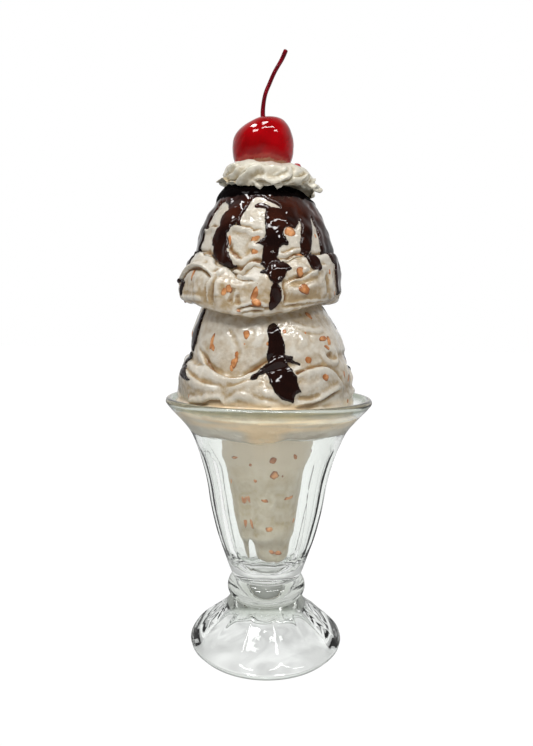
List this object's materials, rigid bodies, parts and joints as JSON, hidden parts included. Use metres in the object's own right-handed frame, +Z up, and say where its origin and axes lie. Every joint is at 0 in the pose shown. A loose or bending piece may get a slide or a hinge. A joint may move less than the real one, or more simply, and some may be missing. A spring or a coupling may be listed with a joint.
{
  "type": "display ice cream sundae",
  "caption": "Tall display sundae: stacked vanilla scoops with skirts under fudge drips and nuts, piped cream and a stemmed cherry, in a fluted tulip glass.",
  "frame": {"origin": "centre of the glass's base ring, on the surface that it stands on", "axes": "+Z up along the glass's axis; -Y is the front of the sundae, with its longest run of fudge sauce"},
  "size_m": [0.1144, 0.1144, 0.3306],
  "materials": {
    "clear_glass": "clear pressed glass, polished",
    "plug_ice_cream": "painted resin, satin",
    "vanilla_ice_cream": "painted resin with a brown wash under gloss varnish",
    "whipped_cream": "painted resin, satin varnish",
    "cherry_skin": "painted resin, high gloss",
    "cherry_stem": "painted, gloss",
    "fudge_sauce": "dark brown paint, high gloss",
    "nut_pieces": "painted relief under gloss varnish"
  },
  "bodies": {
    "root": {"glass": "clear_glass", "ice_cream_plug": "plug_ice_cream", "lower_scoop": "vanilla_ice_cream", "upper_scoop": "vanilla_ice_cream", "whipped_cream": "whipped_cream", "cherry": "cherry_skin", "cherry_stem": "cherry_stem"}
  },
  "joints": []
}
